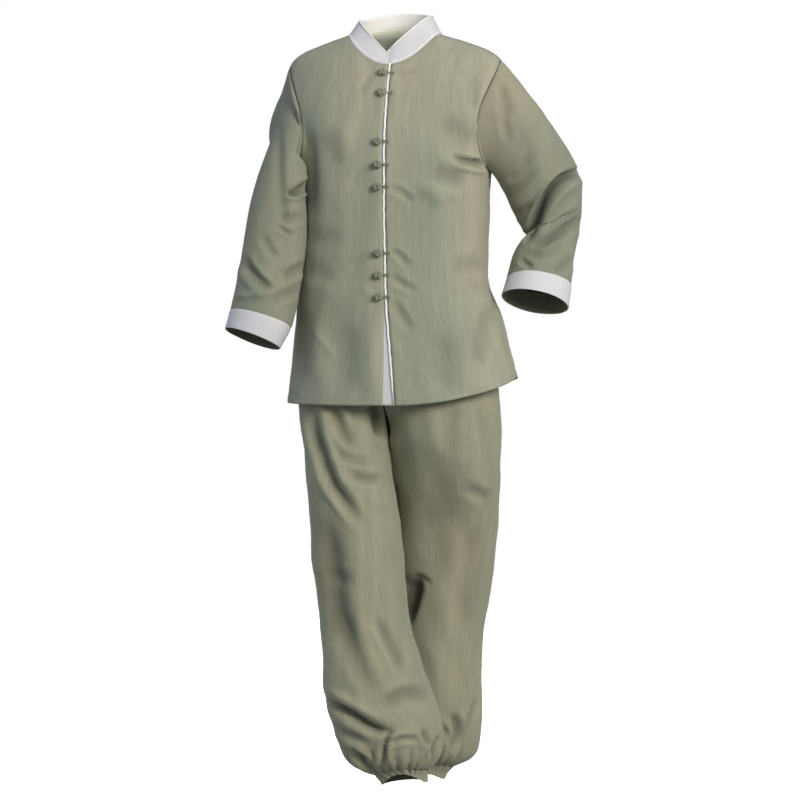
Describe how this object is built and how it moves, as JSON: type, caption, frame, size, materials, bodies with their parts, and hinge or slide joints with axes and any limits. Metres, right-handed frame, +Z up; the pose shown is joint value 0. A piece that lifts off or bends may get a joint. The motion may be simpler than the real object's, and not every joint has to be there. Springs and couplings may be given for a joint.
{
  "type": "tai chi uniform",
  "caption": "Loose stand-collar jacket with knot buttons, white trim and turned cuffs, over wide trousers gathered into ankle casings, both hollow in a standing pose.",
  "frame": {"origin": "the middle of the neck, level with the seam between the collar and the shoulder", "axes": "+Z up, +X to the wearer's left, and the wearer faces -Y"},
  "size_m": [0.6088, 0.3096, 1.371],
  "materials": {
    "cloth": "matte sage grey-green linen and cotton weave",
    "trim": "matte off-white cotton",
    "cord": "matte grey-green bias cord"
  },
  "bodies": {
    "root": {"jacket_front_right": "cloth", "jacket_front_left": "cloth", "jacket_back": "cloth", "sleeve_right": "cloth", "sleeve_left": "cloth", "trouser_front_right": "cloth", "trouser_back_right": "cloth", "trouser_front_left": "cloth", "trouser_back_left": "cloth", "ankle_casing_right": "cloth", "ankle_casing_left": "cloth", "trouser_waistband": "cloth", "front_piping": "trim", "underflap": "trim", "collar": "trim", "cuff_right": "trim", "cuff_left": "trim", "button_1": "cord", "button_2": "cord", "button_3": "cord", "button_4": "cord", "button_5": "cord", "button_6": "cord", "button_7": "cord", "button_8": "cord", "loop_1": "cord", "loop_2": "cord", "loop_3": "cord", "loop_4": "cord", "loop_5": "cord", "loop_6": "cord", "loop_7": "cord", "loop_8": "cord"}
  },
  "joints": []
}
